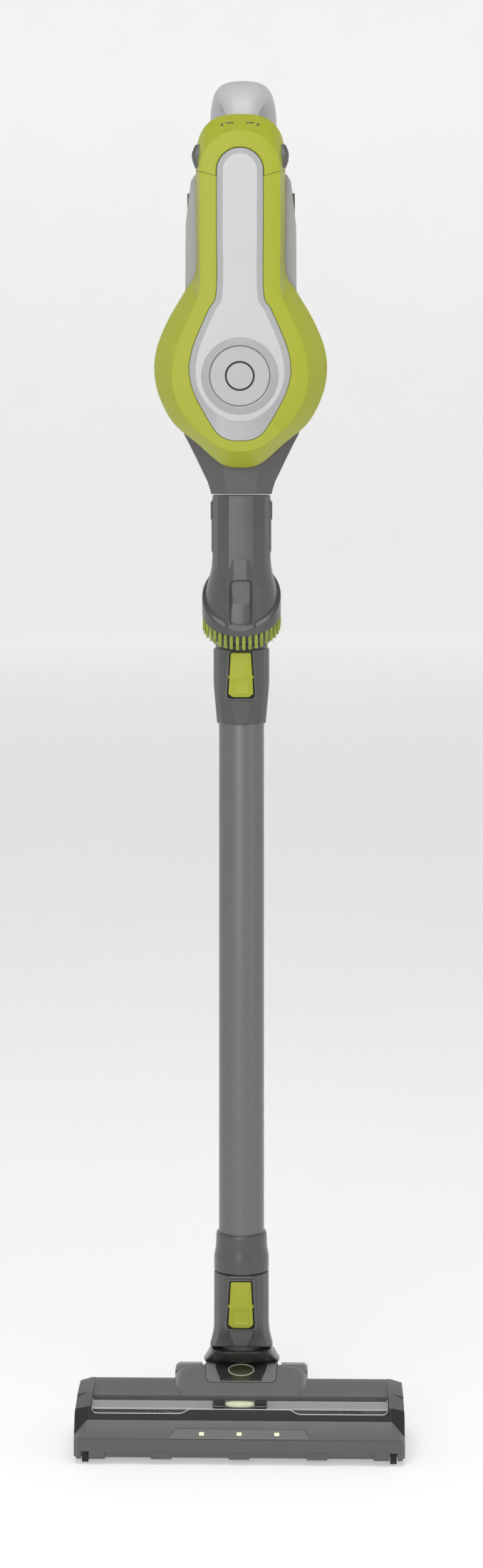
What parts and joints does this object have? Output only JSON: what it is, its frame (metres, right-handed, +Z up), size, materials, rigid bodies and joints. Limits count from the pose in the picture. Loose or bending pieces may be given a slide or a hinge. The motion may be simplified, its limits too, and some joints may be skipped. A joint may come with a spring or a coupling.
{
  "type": "cordless stick vacuum",
  "caption": "upright cordless stick vacuum: slide-out battery, clear dust bin, dusting-brush tool, slim wand, swivel neck and powered brush-roll floor head",
  "frame": {"origin": "on the floor, under the axis of the wand, at the middle of the object's footprint box", "axes": "+X to the right seen from the front, +Y to the back (the user's side), +Z up"},
  "size_m": [0.2552, 0.174, 1.0836],
  "materials": {
    "grey_plastic": "fine moulded texture",
    "dark_plastic": "fine moulded texture",
    "graphite_plastic": "satin moulded",
    "smoke_cover": "satin, slightly translucent",
    "green_plastic": "satin",
    "silver_plastic": "gloss",
    "light_grey_plastic": "satin",
    "clear_window": "clear plastic",
    "smoke_clear": "smoked clear plastic",
    "green_clear": "translucent",
    "led_lens": "diffuse lens",
    "rubber_black": "matte",
    "wheel_rubber": "matte",
    "steel": "plain",
    "tube_metal": "metallic satin lacquer",
    "bristle_green": "nylon tufts",
    "bristle_grey": "nylon strips on a soft roll",
    "cell_wrap": "shrink wrap",
    "board": "solder mask",
    "filter_media": "pleated"
  },
  "bodies": {
    "floor_head": {"head_base": "dark_plastic", "head_cover": "grey_plastic", "head_bonnet": "smoke_cover", "badge_plate": "dark_plastic", "suction_duct": "green_clear", "squeegee": "rubber_black", "head_screws": "steel", "roller_motor": "steel", "drive_belt": "rubber_black", "wheel_axles": "steel", "headlight_panel": "grey_plastic", "headlight_leds": "led_lens", "head_window": "clear_window"},
    "brush_roll": {"brush_roll_core": "graphite_plastic", "brush_roll_bristles": "bristle_grey"},
    "motor_shaft": {"motor_pulley": "graphite_plastic"},
    "front_wheel_left": {"front_wheel_left": "wheel_rubber"},
    "front_wheel_right": {"front_wheel_right": "wheel_rubber"},
    "rear_wheel_left": {"rear_wheel_left": "wheel_rubber"},
    "rear_wheel_right": {"rear_wheel_right": "wheel_rubber"},
    "yoke": {"neck_yoke": "dark_plastic"},
    "neck": {"neck_socket": "graphite_plastic"},
    "neck_rocker": {"neck_button": "green_plastic"},
    "wand": {"wand_tube": "tube_metal", "wand_lower_collar": "graphite_plastic", "wand_upper_collar": "graphite_plastic"},
    "wand_rocker": {"wand_button": "green_plastic"},
    "nozzle_tool": {"nozzle_sleeve": "graphite_plastic"},
    "latch_left": {"tool_latch_left": "graphite_plastic"},
    "latch_right": {"tool_latch_right": "graphite_plastic"},
    "dusting_brush": {"dusting_brush_collar": "graphite_plastic", "dusting_brush_bristles": "bristle_green"},
    "hand_unit": {"inlet_funnel": "graphite_plastic", "front_shield": "green_plastic", "trim_plate": "silver_plastic", "boss_ring": "silver_plastic", "badge_disc": "silver_plastic", "chassis": "dark_plastic", "motor_housing_left": "light_grey_plastic", "motor_housing_right": "light_grey_plastic", "vent_grilles": "dark_plastic", "handle_left": "light_grey_plastic", "handle_right": "light_grey_plastic", "suction_motor": "steel", "control_board": "board", "charging_socket": "dark_plastic"},
    "battery": {"battery_cap": "green_plastic", "battery_case": "dark_plastic", "battery_cells": "cell_wrap", "indicator_lights": "led_lens"},
    "battery_key_left": {"battery_button_left": "graphite_plastic"},
    "battery_key_right": {"battery_button_right": "graphite_plastic"},
    "trigger_key": {"trigger": "green_plastic"},
    "mode_key": {"mode_slider": "dark_plastic"},
    "fan": {"fan_rotor": "graphite_plastic"},
    "bin": {"dust_bin": "smoke_clear", "cyclone_shroud": "steel", "filter_cartridge": "filter_media"},
    "lid": {"bin_lid": "smoke_clear"},
    "lid_latch": {"bin_latch": "dark_plastic"}
  },
  "joints": [
    {"name": "roller_spin", "type": "hinge", "parent": "floor_head", "child": "brush_roll", "pos_m": [0, -0.056, 0.019], "axis": [1, 0, 0], "continuous": true},
    {"name": "motor_pulley_spin", "type": "hinge", "parent": "floor_head", "child": "motor_shaft", "pos_m": [-0.112, -0.022, 0.022], "axis": [1, 0, 0], "continuous": true},
    {"name": "front_wheel_left_spin", "type": "hinge", "parent": "floor_head", "child": "front_wheel_left", "pos_m": [-0.1188, -0.0795, 0.007], "axis": [1, 0, 0], "continuous": true},
    {"name": "front_wheel_right_spin", "type": "hinge", "parent": "floor_head", "child": "front_wheel_right", "pos_m": [0.1188, -0.0795, 0.007], "axis": [1, 0, 0], "continuous": true},
    {"name": "rear_wheel_left_spin", "type": "hinge", "parent": "floor_head", "child": "rear_wheel_left", "pos_m": [-0.05, 0.024, 0.015], "axis": [1, 0, 0], "continuous": true},
    {"name": "rear_wheel_right_spin", "type": "hinge", "parent": "floor_head", "child": "rear_wheel_right", "pos_m": [0.05, 0.024, 0.015], "axis": [1, 0, 0], "continuous": true},
    {"name": "neck_pitch", "type": "hinge", "parent": "floor_head", "child": "yoke", "pos_m": [0, 0.014, 0.042], "axis": [-1, 0, 0], "range_deg": [0, 80]},
    {"name": "neck_twist", "type": "hinge", "parent": "yoke", "child": "neck", "pos_m": [0, 0, 0.066], "axis": [0, 0, 1], "range_deg": [-60, 60]},
    {"name": "neck_button_press", "type": "hinge", "parent": "neck", "child": "neck_rocker", "pos_m": [0, -0.0219, 0.1035], "axis": [1, 0, 0], "range_deg": [0, 3], "stiffness_Nm_per_rad": 0.4, "springref_deg": -5.73},
    {"name": "wand_lift", "type": "slide", "parent": "neck", "child": "wand", "axis": [0, 0, 1], "range_m": [0, 0.04]},
    {"name": "wand_button_press", "type": "hinge", "parent": "wand", "child": "wand_rocker", "pos_m": [0, -0.0219, 0.6017], "axis": [1, 0, 0], "range_deg": [0, 3], "stiffness_Nm_per_rad": 0.4, "springref_deg": -5.73},
    {"name": "nozzle_lift", "type": "slide", "parent": "wand", "child": "nozzle_tool", "axis": [0, 0, 1], "range_m": [0, 0.045]},
    {"name": "tool_latch_left_press", "type": "hinge", "parent": "nozzle_tool", "child": "latch_left", "pos_m": [-0.0218, 0, 0.72], "axis": [0, 1, 0], "range_deg": [0, 2.5], "stiffness_Nm_per_rad": 0.2, "springref_deg": -5.73},
    {"name": "tool_latch_right_press", "type": "hinge", "parent": "nozzle_tool", "child": "latch_right", "pos_m": [0.0218, 0, 0.72], "axis": [0, -1, 0], "range_deg": [0, 2.5], "stiffness_Nm_per_rad": 0.2, "springref_deg": -5.73},
    {"name": "dusting_brush_slide", "type": "slide", "parent": "nozzle_tool", "child": "dusting_brush", "axis": [0, 0, -1], "range_m": [0, 0.016]},
    {"name": "hand_unit_lift", "type": "slide", "parent": "nozzle_tool", "child": "hand_unit", "axis": [0, 0, 1], "range_m": [0, 0.04]},
    {"name": "battery_slide", "type": "slide", "parent": "hand_unit", "child": "battery", "axis": [0, 0, 1], "range_m": [0, 0.11]},
    {"name": "battery_button_left_press", "type": "slide", "parent": "battery", "child": "battery_key_left", "axis": [1, 0, 0], "range_m": [0, 0.0018], "stiffness_N_per_m": 400, "springref_m": -0.001},
    {"name": "battery_button_right_press", "type": "slide", "parent": "battery", "child": "battery_key_right", "axis": [-1, 0, 0], "range_m": [0, 0.0018], "stiffness_N_per_m": 400, "springref_m": -0.001},
    {"name": "trigger_press", "type": "hinge", "parent": "hand_unit", "child": "trigger_key", "pos_m": [0, 0.068, 1.041], "axis": [1, 0, 0], "range_deg": [0, 6], "stiffness_Nm_per_rad": 0.5, "springref_deg": -8.59},
    {"name": "mode_slide", "type": "slide", "parent": "hand_unit", "child": "mode_key", "axis": [0, 1, 0], "range_m": [0, 0.0055]},
    {"name": "fan_spin", "type": "hinge", "parent": "hand_unit", "child": "fan", "pos_m": [0, 0.027, 0.96], "axis": [0, 0, 1], "continuous": true},
    {"name": "bin_slide", "type": "slide", "parent": "hand_unit", "child": "bin", "axis": [0, 1, 0], "range_m": [0, 0.1]},
    {"name": "bin_lid_swing", "type": "hinge", "parent": "bin", "child": "lid", "pos_m": [0, 0.07, 0.7795], "axis": [-1, 0, 0], "range_deg": [0, 95]},
    {"name": "bin_latch_press", "type": "hinge", "parent": "bin", "child": "lid_latch", "pos_m": [0, 0.0715, 0.903], "axis": [-1, 0, 0], "range_deg": [0, 5], "stiffness_Nm_per_rad": 0.1, "springref_deg": -5.73}
  ],
  "couplings": [
    {"joint": "motor_pulley_spin", "follows": "roller_spin", "ratio": 1.5}
  ]
}
